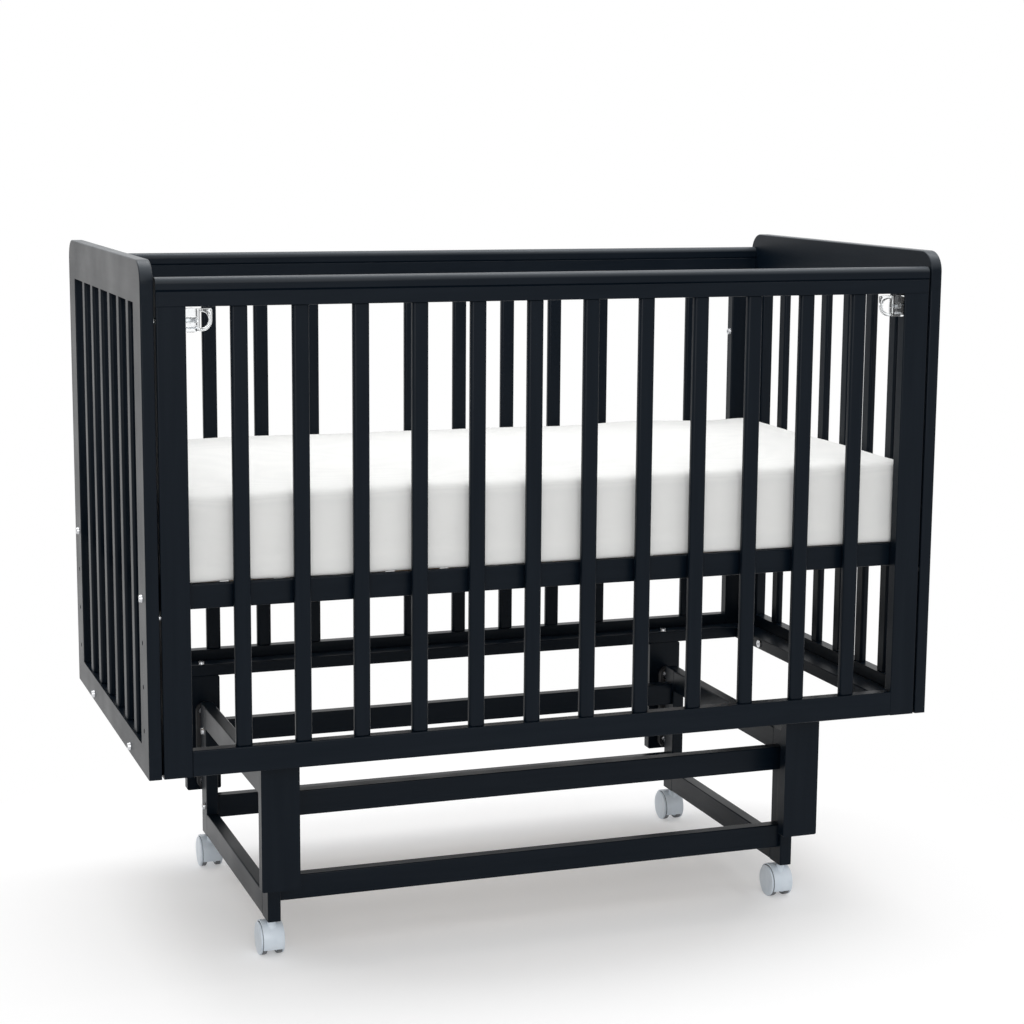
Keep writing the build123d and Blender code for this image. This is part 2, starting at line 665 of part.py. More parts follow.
for panel, end, panel_x in side_panels:
    mid_y = end * side_mid_y
    stile_width = panel_x - side_stile_inner
    stile_mid_x = side_stile_inner + stile_width / 2

    with BuildPart() as side_stiles:
        with BuildSketch(Plane.XY.offset(body_bottom)):
            with Locations((-stile_mid_x, mid_y), (stile_mid_x, mid_y)):
                RectangleRounded(stile_width, side_thickness, edge_round)
        extrude(amount=side_stile_top - body_bottom)
        with BuildSketch(Plane.YZ.offset(-panel_x)):
            if panel == "back":
                with Locations(*[(mid_y, level) for level in back_bolt_levels]):
                    Circle(bolt_bore / 2)
            else:
                with Locations((mid_y, latch_z)):
                    Circle(latch_bolt_diameter / 2 + slide_clearance)
        extrude(amount=2 * panel_x, mode=Mode.SUBTRACT)
        if panel == "drop_side":
            for side in (-1, 1):
                with BuildSketch(Plane.YZ.offset(side * panel_x)):
                    with Locations((mid_y, guide_pin_z)):
                        Circle(guide_pin_diameter / 2 + running_gap)
                extrude(amount=-side * guide_pin_seat, mode=Mode.SUBTRACT)
                with BuildSketch(Plane.YZ.offset(side * side_stile_inner)):
                    with Locations((mid_y, latch_z - latch_screw_drop)):
                        Circle(latch_screw_diameter / 2 + running_gap)
                extrude(amount=side * latch_block_length, mode=Mode.SUBTRACT)
    side_stiles.part.label = f"{panel}_stiles"
    export_step(side_stiles.part, f"parts/{panel}_stiles.step")

    with BuildPart() as side_slats:
        with BuildSketch(Plane.XY.offset(side_slat_bottom)):
            with Locations((0, mid_y)):
                with GridLocations(side_pitch, 0, side_slat_count, 1):
                    RectangleRounded(slat_width, slat_thickness, slat_round)
        extrude(amount=side_stile_top - side_slat_bottom)
        with BuildSketch(Plane.XY.offset(side_slat_bottom - tenon_length)):
            with Locations((0, mid_y)):
                with GridLocations(side_pitch, 0, side_slat_count, 1):
                    Rectangle(tenon_width, tenon_thickness)
        extrude(amount=side_stile_top - side_slat_bottom + 2 * tenon_length)
    side_slats.part.label = f"{panel}_slats"
    export_step(side_slats.part, f"parts/{panel}_slats.step")

    with BuildPart() as side_bottom_rail:
        with BuildSketch(Plane.YZ.offset(-side_stile_inner)):
            with Locations((mid_y, body_bottom + side_rail_height / 2)):
                RectangleRounded(side_thickness, side_rail_height, edge_round)
        extrude(amount=2 * side_stile_inner)
        with BuildSketch(Plane.XY.offset(side_slat_bottom)):
            with Locations((0, mid_y)):
                with GridLocations(side_pitch, 0, side_slat_count, 1):
                    Rectangle(tenon_width + 2 * tenon_gap, tenon_thickness + 2 * tenon_gap)
        extrude(amount=-tenon_length - tenon_gap, mode=Mode.SUBTRACT)
    side_bottom_rail.part.label = f"{panel}_bottom_rail"
    export_step(side_bottom_rail.part, f"parts/{panel}_bottom_rail.step")

    with BuildPart() as side_top_rail:
        with BuildSketch(Plane.YZ.offset(-panel_x)) as top_profile:
            with Locations((mid_y, side_stile_top + side_top_rail_height / 2)):
                Rectangle(side_thickness, side_top_rail_height)
            chamfer(top_profile.vertices().group_by(Axis.Y)[-1], cap_groove)
        extrude(amount=2 * panel_x)
        with BuildSketch(Plane.XY.offset(side_stile_top)):
            with Locations((0, mid_y)):
                with GridLocations(side_pitch, 0, side_slat_count, 1):
                    Rectangle(tenon_width + 2 * tenon_gap, tenon_thickness + 2 * tenon_gap)
        extrude(amount=tenon_length + tenon_gap, mode=Mode.SUBTRACT)
    side_top_rail.part.label = f"{panel}_top_rail"
    export_step(side_top_rail.part, f"parts/{panel}_top_rail.step")

    with BuildPart() as side_cap_rail:
        with BuildSketch(Plane.YZ.offset(-panel_x)) as cap_profile:
            with Locations((mid_y, side_rail_top + cap_height / 2)):
                Rectangle(side_thickness, cap_height)
            chamfer(cap_profile.vertices().group_by(Axis.Y)[0], cap_groove)
            fillet(cap_profile.vertices().group_by(Axis.Y)[-1], cap_round)
        extrude(amount=2 * panel_x)
    side_cap_rail.part.label = f"{panel}_cap_rail"
    export_step(side_cap_rail.part, f"parts/{panel}_cap_rail.step")

# Bolts of the crib body: end rails to bearers with cap nuts, and back panel to end panels
with BuildPart() as body_bolts:
    for side in (-1, 1):
        for end in (-1, 1):
            add_cap_nut(facing(side * bearer_inner_x, end * bearer_bolt_y, bearer_bolt_z, (-side, 0, 0)))
            seat = facing(side * outer_x, end * bearer_bolt_y, bearer_bolt_z, (side, 0, 0))
            add_bolt(seat, end_thickness + end_bearer_width - cap_nut_floor - bolt_tip_gap)
        for level in back_bolt_levels:
            seat = facing(side * side_stile_inner, side_mid_y, level, (-side, 0, 0))
            add_bolt(seat, side_stile_width + groove_depth - bolt_tip_gap)
body_bolts.part.label = "body_bolts"
export_step(body_bolts.part, "parts/body_bolts.step")

# Bed base: two long rails with a seat for the battens, two end rails, battens and bolts
with BuildPart() as bed_side_rails:
    for end in (-1, 1):
        with BuildSketch(Plane.YZ.offset(-inner_x)):
            with Locations((end * (bed_rail_inner_y + bed_rail_thickness / 2), bed_bolt_z)):
                RectangleRounded(bed_rail_thickness, bed_rail_height, edge_round)
            with Locations((end * (bed_rail_inner_y + batten_seat / 2), bed_top - batten_thickness / 2)):
                Rectangle(batten_seat, batten_thickness, mode=Mode.SUBTRACT)
        extrude(amount=inner_length)
    for side in (-1, 1):
        with BuildSketch(Plane.YZ.offset(side * inner_x)):
            with Locations((-bed_bolt_y, bed_bolt_z), (bed_bolt_y, bed_bolt_z)):
                Circle(bolt_bore / 2)
        extrude(amount=-side * bolt_grip, mode=Mode.SUBTRACT)
bed_side_rails.part.label = "bed_side_rails"
export_step(bed_side_rails.part, "parts/bed_side_rails.step")

with BuildPart() as bed_end_rails:
    with BuildSketch(Plane.XZ.offset(-bed_rail_inner_y)):
        for side in (-1, 1):
            with Locations((side * (inner_x - bed_rail_thickness / 2), bed_bolt_z)):
                RectangleRounded(bed_rail_thickness, bed_rail_height, edge_round)
    extrude(amount=2 * bed_rail_inner_y)
bed_end_rails.part.label = "bed_end_rails"
export_step(bed_end_rails.part, "parts/bed_end_rails.step")

with BuildPart() as bed_battens:
    batten_run = inner_length - 2 * bed_rail_thickness
    batten_pitch = batten_run / batten_count
    with BuildSketch(Plane.XY.offset(bed_top - batten_thickness)):
        with GridLocations(batten_pitch, 0, batten_count, 1):
            RectangleRounded(batten_width, 2 * (bed_rail_inner_y + batten_seat), edge_round)
    extrude(amount=batten_thickness)
bed_battens.part.label = "bed_battens"
export_step(bed_battens.part, "parts/bed_battens.step")

with BuildPart() as bed_bolts:
    for side in (-1, 1):
        for end in (-1, 1):
            seat = facing(side * outer_x, end * bed_bolt_y, bed_bolt_z, (side, 0, 0))
            add_bolt(seat, end_thickness + bolt_grip - bolt_tip_gap)
bed_bolts.part.label = "bed_bolts"
export_step(bed_bolts.part, "parts/bed_bolts.step")

# Mattress
with BuildPart() as mattress:
    with BuildSketch(Plane.XY.offset(bed_top + soft_gap)):
        RectangleRounded(
            inner_length - 2 * mattress_clearance,
            2 * (side_inner_y - mattress_clearance),
            mattress_corner,
        )
    extrude(amount=mattress_height)
    fillet(mattress.edges().group_by(Axis.Z)[-1], mattress_edge)
mattress.part.label = "mattress"
export_step(mattress.part, "parts/mattress.step")

# Drop side: guide pins in the stiles and the screws of the latches
with BuildPart() as drop_side_pins:
    for side in (-1, 1):
        with BuildSketch(Plane.YZ.offset(side * (drop_outer_x - guide_pin_seat))):
            with Locations((-side_mid_y, guide_pin_z)):
                Circle(guide_pin_diameter / 2)
        extrude(amount=side * (guide_pin_seat + guide_pin_reach))
        with BuildSketch(Plane.YZ.offset(side * (side_stile_inner - latch_block_length))):
            with Locations((-side_mid_y, latch_z - latch_screw_drop)):
                Circle(latch_screw_diameter / 2)
        extrude(amount=side * 2 * latch_block_length)
        with BuildSketch(Plane.YZ.offset(side * (side_stile_inner - latch_block_length))):
            with Locations((-side_mid_y, latch_z - latch_screw_drop)):
                Circle(latch_screw_head / 2)
        extrude(amount=side * latch_screw_head_depth)
drop_side_pins.part.label = "drop_side_pins"
export_step(drop_side_pins.part, "parts/drop_side_pins.step")

# Latches: a block on each stile's inner edge, and a bolt with a finger ring
with BuildPart() as latch_blocks:
    for side in (-1, 1):
        block_x = side * (side_stile_inner - latch_block_length / 2)
        with BuildSketch(Plane.XZ.offset(side_mid_y)):
            with Locations((block_x, latch_z)):
                RectangleRounded(latch_block_length, latch_block_height, latch_block_corner)
        extrude(amount=latch_block_thickness / 2, both=True)
    for side in (-1, 1):
        with BuildSketch(Plane.YZ.offset(side * side_stile_inner)):
            with Locations((-side_mid_y, latch_z)):
                Circle(latch_bolt_diameter / 2 + slide_clearance)
            with Locations((-side_mid_y, latch_z - latch_screw_drop)):
                Circle(latch_screw_diameter / 2 + running_gap)
        extrude(amount=-side * latch_block_length, mode=Mode.SUBTRACT)
        with BuildSketch(Plane.YZ.offset(side * (side_stile_inner - latch_block_length))):
            with Locations((-side_mid_y, latch_z - latch_screw_drop)):
                Circle(latch_screw_head / 2 + running_gap)
        extrude(amount=side * latch_screw_head_depth, mode=Mode.SUBTRACT)
latch_blocks.part.label = "latch_blocks"
export_step(latch_blocks.part, "parts/latch_blocks.step")

for side_name, side in (("left", -1), ("right", 1)):
    ring_outer_x = side_stile_inner - latch_block_length - ring_gap
    ring_radius = ring_height / 2
    arc_x = ring_outer_x - ring_length + ring_radius

    with BuildPart() as latch_bolt:
        with BuildSketch(Plane.XZ.offset(side_mid_y)):
            with BuildLine():
                Polyline(
                    (side * arc_x, latch_z + ring_radius),
                    (side * ring_outer_x, latch_z + ring_radius),
                    (side * ring_outer_x, latch_z - ring_radius),
                    (side * arc_x, latch_z - ring_radius),
                )
                ThreePointArc(
                    (side * arc_x, latch_z + ring_radius),
                    (side * (arc_x - ring_radius), latch_z),
                    (side * arc_x, latch_z - ring_radius),
                )
            make_face()
            offset(amount=-ring_wall, mode=Mode.SUBTRACT)
        extrude(amount=ring_thickness / 2, both=True)
        bolt_end = drop_outer_x + latch_bolt_reach
        with BuildSketch(Plane.YZ.offset(side * (ring_outer_x - ring_wall / 2))):
            with Locations((-side_mid_y, latch_z)):
                Circle(latch_bolt_diameter / 2)
        extrude(amount=side * (bolt_end - ring_outer_x + ring_wall / 2))
    latch_bolt.part.label = f"{side_name}_latch_bolt"
    export_step(latch_bolt.part, f"parts/{side_name}_latch_bolt.step")
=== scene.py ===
"""Looks of a slatted crib that hangs by four links in a low frame on casters.

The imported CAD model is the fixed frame. This script gives its parts their finishes,
makes the mattress, the latch rings and the casters' outsides anew, and sets the studio.
Everything is in metres, +Z up, with the drop side at -Y.
"""

import logging
import math
from dataclasses import dataclass
from enum import Enum
from typing import Any, Iterable, Optional, Sequence, Union

import bmesh
import bpy
from mathutils import Matrix, Vector, noise


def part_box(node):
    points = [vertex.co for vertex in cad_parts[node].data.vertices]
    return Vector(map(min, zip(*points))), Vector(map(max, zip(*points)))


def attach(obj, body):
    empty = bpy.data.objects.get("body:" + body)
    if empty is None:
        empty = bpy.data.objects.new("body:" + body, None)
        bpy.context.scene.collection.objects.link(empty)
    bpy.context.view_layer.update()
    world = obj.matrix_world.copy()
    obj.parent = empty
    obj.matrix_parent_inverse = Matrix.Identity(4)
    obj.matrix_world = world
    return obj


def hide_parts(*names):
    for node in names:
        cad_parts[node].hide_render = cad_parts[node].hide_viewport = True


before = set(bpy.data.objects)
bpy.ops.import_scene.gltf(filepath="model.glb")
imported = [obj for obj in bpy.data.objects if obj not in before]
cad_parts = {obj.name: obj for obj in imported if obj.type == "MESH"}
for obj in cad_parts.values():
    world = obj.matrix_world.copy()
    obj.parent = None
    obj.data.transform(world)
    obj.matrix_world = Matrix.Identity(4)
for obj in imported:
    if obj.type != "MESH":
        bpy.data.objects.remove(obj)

log = logging.getLogger("crib")

SEEN_RAYS = ("Is Camera Ray", "Is Glossy Ray", "Is Transmission Ray")
WHITE = (1.0, 1.0, 1.0, 1.0)
WELD_DISTANCE = 1e-5
SAME_PLACE = 1e-6


class Slot(Enum):
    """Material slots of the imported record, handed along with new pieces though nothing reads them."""

    MATTRESS_FABRIC = "mattress_fabric"
    ZINC_STEEL = "zinc_steel"
    WHITE_PLASTIC = "white_plastic"
    SOCKET_PLASTIC = "socket_plastic"
    CLEAR_PLASTIC = "clear_plastic"


class Grain(Enum):
    """Direction that a board's grain runs in, as the pattern's scale along X, Y and Z."""

    ALONG_X = (1.0, 14.0, 14.0)
    ALONG_Y = (14.0, 1.0, 14.0)
    ALONG_Z = (14.0, 14.0, 1.0)


class Corner(Enum):
    """The four corners of the floor frame, by the names of their CAD nodes."""

    FRONT_LEFT = "front_left"
    FRONT_RIGHT = "front_right"
    BACK_LEFT = "back_left"
    BACK_RIGHT = "back_right"


# Shader graphs


class Signal:
    """A number on a shader socket; sums on it add Math nodes."""

    def __init__(self, graph: "Graph", socket: bpy.types.NodeSocket) -> None:
        """Wrap a socket.

        Args:
            graph: The graph that the socket belongs to.
            socket: The socket that gives the number.
        """
        self.graph = graph
        self.socket = socket

    def _sum(self, operation: str, first: "Number", second: "Number") -> "Signal":
        """Add one Math node.

        Args:
            operation: The node's operation.
            first: Its first value.
            second: Its second value.

        Returns:
            The result.
        """
        made = self.graph.node("ShaderNodeMath", {"operation": operation}, {0: first, 1: second})
        return Signal(self.graph, made.outputs[0])

    def __add__(self, other: "Number") -> "Signal":
        """Add."""
        return self._sum("ADD", self, other)

    __radd__ = __add__

    def __sub__(self, other: "Number") -> "Signal":
        """Take a number from this one."""
        return self._sum("SUBTRACT", self, other)

    def __mul__(self, other: "Number") -> "Signal":
        """Multiply."""
        return self._sum("MULTIPLY", self, other)

    __rmul__ = __mul__

    def sine(self) -> "Signal":
        """Give the sine of this number."""
        return self._sum("SINE", self, 0.0)

    def at_least(self, other: "Number") -> "Signal":
        """Give the larger of two numbers."""
        return self._sum("MAXIMUM", self, other)


Number = Union[Signal, float]
Colour = tuple[float, float, float]
Point = tuple[float, float]


class Graph:
    """The node graph of one finish."""

    def __init__(self, tree: bpy.types.NodeTree) -> None:
        """Empty a node tree to build a finish in.

        Args:
            tree: The tree of a material or a world.
        """
        self.tree = tree
        tree.nodes.clear()

    def node(
        self,
        kind: str,
        settings: Optional[dict[str, Any]] = None,
        sockets: Optional[dict[Union[str, int], Any]] = None,
    ) -> bpy.types.Node:
        """Add a node.

        Args:
            kind: The node's type.
            settings: Its settings, set first.
            sockets: Values or links of its input sockets.

        Returns:
            The node.
        """
        made = self.tree.nodes.new(kind)
        for name, setting in (settings or {}).items():
            setattr(made, name, setting)
        for key, value in (sockets or {}).items():
            source = value.socket if isinstance(value, Signal) else value
            if isinstance(source, bpy.types.NodeSocket):
                self.tree.links.new(source, made.inputs[key])
            else:
                made.inputs[key].default_value = source
        return made

    def place(self, scale: Sequence[float] = (1.0, 1.0, 1.0)) -> bpy.types.NodeSocket:
        """Give Object coordinates, scaled.

        Args:
            scale: The scale along X, Y and Z.

        Returns:
            The vector socket.
        """
        source = self.node("ShaderNodeTexCoord").outputs["Object"]
        mapped = self.node("ShaderNodeMapping", None, {"Vector": source, "Scale": scale})
        return mapped.outputs["Vector"]

    def noise(
        self,
        place: bpy.types.NodeSocket,
        scale: float,
        detail: float = 3.0,
        roughness: float = 0.5,
    ) -> Signal:
        """Add a noise pattern.

        Args:
            place: Where it is read.
            scale: Its scale.
            detail: Its number of octaves.
            roughness: How strong the fine octaves are.

        Returns:
            The pattern, from 0 to 1.
        """
        sockets = {"Vector": place, "Scale": scale, "Detail": detail, "Roughness": roughness}
        made = self.node("ShaderNodeTexNoise", None, sockets)
        return Signal(self, made.outputs["Fac"])

    def axes(self, place: bpy.types.NodeSocket) -> tuple[Signal, Signal, Signal]:
        """Split a vector into its three numbers."""
        parts = self.node("ShaderNodeSeparateXYZ", None, {0: place})
        return tuple(Signal(self, out) for out in parts.outputs)

    def spread(self, value: Signal, low: float, high: float, to_low: float, to_high: float) -> Signal:
        """Stretch a number from one range to another, and hold it there.

        Args:
            value: The number.
            low: The bottom of its range.
            high: The top of its range.
            to_low: What the bottom becomes.
            to_high: What the top becomes.

        Returns:
            The stretched number.
        """
        sockets = {"Value": value, "From Min": low, "From Max": high, "To Min": to_low, "To Max": to_high}
        made = self.node("ShaderNodeMapRange", {"clamp": True}, sockets)
        return Signal(self, made.outputs["Result"])

    def mix(self, share: Number, first: Any, second: Any) -> bpy.types.NodeSocket:
        """Mix two colours.

        Args:
            share: How much of the second colour.
            first: A colour or its socket.
            second: A colour or its socket.

        Returns:
            The mixed colour.
        """
        colours = [(*c, 1.0) if isinstance(c, tuple) else c for c in (first, second)]
        sockets = {0: share, 6: colours[0], 7: colours[1]}
        made = self.node("ShaderNodeMix", {"data_type": "RGBA"}, sockets)
        return made.outputs[2]

    def bump(
        self,
        height: Number,
        distance: float,
        strength: float = 0.5,
        under: Optional[bpy.types.NodeSocket] = None,
    ) -> bpy.types.NodeSocket:
        """Turn a height into a normal.

        Args:
            height: The height, from 0 to 1.
            distance: How far 1 stands out, in metres.
            strength: How strongly it shows.
            under: The normal that it lies on.

        Returns:
            The normal.
        """
        sockets = {"Height": height, "Distance": distance, "Strength": strength}
        if under is not None:
            sockets["Normal"] = under
        return self.node("ShaderNodeBump", None, sockets).outputs["Normal"]

    def seen(self) -> Signal:
        """Tell the rays that show the background from those that light the object.

        Returns:
            1 for a ray that shows the background, 0 for any other.
        """
        paths = self.node("ShaderNodeLightPath")
        rays = [Signal(self, paths.outputs[name]) for name in SEEN_RAYS]
        return rays[0].at_least(rays[1]).at_least(rays[2])

    def surface(self, sockets: dict[str, Any]) -> None:
        """Close the graph with one Principled shader.

        Args:
            sockets: Values or links of the shader's sockets.
        """
        shader = self.node("ShaderNodeBsdfPrincipled", None, sockets)
        self.node("ShaderNodeOutputMaterial", None, {"Surface": shader.outputs["BSDF"]})


class Finish:
    """A finish that can be made into a Blender material."""

    def paint(self, graph: Graph) -> None:
        """Build the finish's nodes in a graph."""
        raise NotImplementedError

    def material(self, name: str) -> bpy.types.Material:
        """Make the material.

        Args:
            name: The material's name.

        Returns:
            The material.
        """
        made = bpy.data.materials.new(name)
        made.use_nodes = True
        self.paint(Graph(made.node_tree))
        return made


def opaque(colour: Colour) -> tuple[float, float, float, float]:
    """Give a colour its full alpha."""
    return (*colour, 1.0)


@dataclass(frozen=True)
class SatinPaint(Finish):
    """Dark satin lacquer over wood, with the grain just showing under it, and, where one is given, a
    painted highlight that lightens the faces that turn up.
    """

    grain: Grain = Grain.ALONG_X
    deep: Colour = (0.0014, 0.0044, 0.0088)
    light: Colour = (0.0034, 0.0068, 0.0118)
    roughness: float = 0.33
    roughness_swing: float = 0.05
    specular: float = 0.11
    # Colour of the painted highlight on faces that turn up; black leaves it out.
    painted_highlight: Colour = (0.0, 0.0, 0.0)
    tone_scale: float = 5.0
    cloud_scale: float = 9.0
    pore_scale: float = 60.0
    pore_depth: float = 0.00005
    spray_scale: float = 420.0
    spray_depth: float = 0.000025
    highlight_start: float = 0.1
    highlight_full: float = 0.8

    def paint(self, graph: Graph) -> None:
        """Build the lacquer's nodes."""
        along = graph.place(self.grain.value)
        plain = graph.place()
        tone = graph.noise(along, self.tone_scale, 4.0, 0.6)
        cloud = graph.noise(plain, self.cloud_scale, 2.0)
        pores = graph.noise(along, self.pore_scale, 5.0, 0.7)
        spray = graph.noise(plain, self.spray_scale, 2.0)
        grain_normal = graph.bump(graph.spread(pores, 0.35, 0.65, 0.0, 1.0), self.pore_depth)
        normal = graph.bump(spray, self.spray_depth, under=grain_normal)
        handled = graph.spread(cloud + 0.3 * tone, 0.4, 0.9, 1.0, -1.0)
        colour = graph.mix(graph.spread(tone, 0.3, 0.7, 0.0, 1.0), self.deep, self.light)
        # Painted highlight: faces that turn up are lightened towards the highlight colour, standing in for
        # the bright reflection of the light above.
        if any(self.painted_highlight):
            facing = graph.node("ShaderNodeTexCoord").outputs["Normal"]
            _, _, upward = graph.axes(facing)
            share = graph.spread(upward, self.highlight_start, self.highlight_full, 0.0, 1.0)
            colour = graph.mix(share, colour, self.painted_highlight)
        graph.surface(
            {
                "Base Color": colour,
                "Roughness": self.roughness + self.roughness_swing * handled,
                "Specular IOR Level": self.specular,
                "Normal": normal,
            }
        )


@dataclass(frozen=True)
class BareWood(Finish):
    """Planed pine, with year lines and a few darker streaks."""

    grain: Grain = Grain.ALONG_Y
    pale: Colour = (0.62, 0.44, 0.25)
    warm: Colour = (0.50, 0.31, 0.15)
    line: Colour = (0.36, 0.20, 0.09)
    roughness: float = 0.62
    specular: float = 0.3
    bend_scale: float = 1.6
    ring_turns: tuple[float, float, float] = (24.0, 9.0, 16.0)
    fibre_finer: float = 6.0
    fibre_scale: float = 9.0
    fibre_depth: float = 0.00015

    def paint(self, graph: Graph) -> None:
        """Build the wood's nodes."""
        along = graph.place(self.grain.value)
        bend = graph.noise(along, self.bend_scale)
        across, _, up = graph.axes(along)
        by_width, by_height, by_bend = self.ring_turns
        rings = (by_width * across + by_height * up + by_bend * bend).sine()
        finer = tuple(self.fibre_finer * scale for scale in self.grain.value)
        fibre = graph.noise(graph.place(finer), self.fibre_scale, 4.0, 0.7)
        tone = graph.mix(graph.spread(bend, 0.3, 0.7, 0.0, 1.0), self.pale, self.warm)
        lined = graph.mix(graph.spread(rings, 0.55, 1.0, 0.0, 0.7), tone, self.line)
        graph.surface(
            {
                "Base Color": graph.mix(graph.spread(fibre, 0.55, 0.8, 0.0, 0.35), lined, self.line),
                "Roughness": self.roughness + 0.12 * (fibre - 0.5),
                "Specular IOR Level": self.specular,
                "Normal": graph.bump(fibre, self.fibre_depth),
            }
        )


@dataclass(frozen=True)
class KnitCover(Finish):
    """White knitted mattress cloth with its fine ribs and soft sheen."""

    colour: Colour = (0.84, 0.84, 0.825)
    shade: Colour = (0.78, 0.785, 0.775)
    roughness: float = 0.92
    specular: float = 0.2
    sheen: float = 0.25
    sheen_roughness: float = 0.4
    rib_pitch: float = 0.0016
    rib_depth: float = 0.00022
    fluff_scale: float = 900.0
    rumple_scale: float = 7.0
    rumple_depth: float = 0.012

    def paint(self, graph: Graph) -> None:
        """Build the cloth's nodes."""
        turn = 2 * math.pi / self.rib_pitch
        across, along, up = graph.axes(graph.place())
        stitches = (turn * across).sine() + (turn * along).sine() + (1.4 * turn * up).sine()
        fluff = graph.noise(graph.place(), self.fluff_scale, 3.0, 0.7)
        rumple = graph.noise(graph.place((1.0, 1.0, 2.2)), self.rumple_scale, 3.0, 0.55)
        knit = graph.spread(stitches + 1.2 * (fluff - 0.5), -2.0, 2.0, 0.0, 1.0)
        # The mottle is partly the knit's own stitch pattern and partly painted shade: the cloth takes the
        # darker colour where the rumples sink.
        mottle = graph.spread(knit * 0.5 + rumple * 0.5, 0.2, 0.75, 0.0, 1.0)
        soft = graph.bump(rumple, self.rumple_depth, 0.35)
        graph.surface(
            {
                "Base Color": graph.mix(mottle, self.shade, self.colour),
                "Roughness": self.roughness + 0.08 * (fluff - 0.5),
                "Specular IOR Level": self.specular,
                "Sheen Weight": self.sheen,
                "Sheen Roughness": self.sheen_roughness,
                "Normal": graph.bump(knit, self.rib_depth, 0.55, soft),
            }
        )


@dataclass(frozen=True)
class ZincSteel(Finish):
    """Bright zinc plate with fine turning marks and a faint cloudy tone."""

    bright: Colour = (0.70, 0.71, 0.73)
    dull: Colour = (0.52, 0.53, 0.55)
    roughness: float = 0.26
    cloud_scale: float = 160.0
    mark_scale: float = 1500.0
    mark_depth: float = 0.00004

    def paint(self, graph: Graph) -> None:
        """Build the plating's nodes."""
        cloud = graph.noise(graph.place(), self.cloud_scale, 3.0, 0.6)
        marks = graph.noise(graph.place((1.0, 1.0, 6.0)), self.mark_scale, 2.0, 0.6)
        graph.surface(
            {
                "Base Color": graph.mix(graph.spread(cloud, 0.35, 0.7, 0.0, 1.0), self.bright, self.dull),
                "Metallic": 1.0,
                "Roughness": self.roughness + 0.2 * (cloud - 0.45),
                "Normal": graph.bump(marks, self.mark_depth),
            }
        )


@dataclass(frozen=True)
class PowderCoat(Finish):
    """Black powder coat on steel, with its fine even texture."""

    colour: Colour = (0.012, 0.013, 0.015)
    mottle: Colour = (0.030, 0.031, 0.034)
    roughness: float = 0.5
    bead_scale: float = 1300.0
    bead_depth: float = 0.0001
    cloud_scale: float = 30.0

    def paint(self, graph: Graph) -> None:
        """Build the coat's nodes."""
        beads = graph.noise(graph.place(), self.bead_scale, 2.0, 0.6)
        cloud = graph.noise(graph.place(), self.cloud_scale, 2.0)
        graph.surface(
            {
                "Base Color": graph.mix(graph.spread(cloud, 0.5, 0.8, 0.0, 1.0), self.colour, self.mottle),
                "Roughness": self.roughness + 0.15 * (beads - 0.5),
                "Normal": graph.bump(beads, self.bead_depth),
            }
        )


@dataclass(frozen=True)
class MouldedPlastic(Finish):
    """Smooth moulded plastic, with a faint flow pattern and slightly duller patches."""

    colour: Colour = (0.74, 0.81, 0.88)
    shade: Colour = (0.67, 0.745, 0.82)
    roughness: float = 0.3
    flow_scale: float = 45.0
    skin_scale: float = 1400.0
    skin_depth: float = 0.00002

    def paint(self, graph: Graph) -> None:
        """Build the plastic's nodes."""
        flow = graph.noise(graph.place((1.0, 2.0, 1.0)), self.flow_scale)
        skin = graph.noise(graph.place(), self.skin_scale, 2.0)
        graph.surface(
            {
                "Base Color": graph.mix(graph.spread(flow, 0.35, 0.7, 0.0, 1.0), self.colour, self.shade),
                "Roughness": self.roughness + 0.12 * (flow - 0.45),
                "Normal": graph.bump(skin, self.skin_depth),
            }
        )


@dataclass(frozen=True)
class ClearPlastic(Finish):
    """Clear moulded plastic with fine handling marks."""

    tint: Colour = (0.94, 0.96, 0.97)
    rubbed_and_highlit: Colour = (0.86, 0.89, 0.91)
    roughness: float = 0.06
    refraction: float = 1.49
    mark_scale: float = 260.0
    mark_depth: float = 0.00006

    def paint(self, graph: Graph) -> None:
        """Build the plastic's nodes."""
        marks = graph.noise(graph.place(), self.mark_scale, 3.0, 0.6)
        graph.surface(
            {
                "Base Color": graph.mix(graph.spread(marks, 0.5, 0.8, 0.0, 0.2), self.tint, self.rubbed_and_highlit),
                "Roughness": graph.spread(marks, 0.45, 0.8, self.roughness, 3 * self.roughness),
                "IOR": self.refraction,
                "Transmission Weight": 1.0,
                "Normal": graph.bump(marks, self.mark_depth),
            }
        )


@dataclass(frozen=True)
class StudioFloor(Finish):
    """Matt white floor that shows the crib's shadow on the picture's white."""

    diffuse: Colour = (0.80, 0.80, 0.80)
    seen: Colour = (0.84, 0.84, 0.845)
    glow: float = 0.22
    shadow_reach: float = 0.42
    white_reach: float = 1.0

    def paint(self, graph: Graph) -> None:
        """Build the floor's nodes."""
        seen = graph.seen()
        plain = graph.node("ShaderNodeBsdfDiffuse", None, {"Color": opaque(self.diffuse)})
        shaded = graph.node("ShaderNodeBsdfDiffuse", None, {"Color": opaque(self.seen)})
        lift = graph.node("ShaderNodeEmission", None, {"Color": WHITE, "Strength": self.glow})
        near = graph.node("ShaderNodeAddShader", None, {0: shaded.outputs[0], 1: lift.outputs[0]})
        reach = graph.node("ShaderNodeVectorMath", {"operation": "LENGTH"}, {0: graph.place()})
        distance = Signal(graph, reach.outputs["Value"])
        away = graph.spread(distance, self.shadow_reach, self.white_reach, 0.0, 1.0)
        far = graph.node("ShaderNodeEmission", None, {"Color": WHITE, "Strength": 1.0})
        white = graph.node("ShaderNodeMixShader", None, {0: away, 1: near.outputs[0], 2: far.outputs[0]})
        both = graph.node("ShaderNodeMixShader", None, {0: seen, 1: plain.outputs[0], 2: white.outputs[0]})
        graph.node("ShaderNodeOutputMaterial", None, {"Surface": both.outputs[0]})


# Mesh helpers


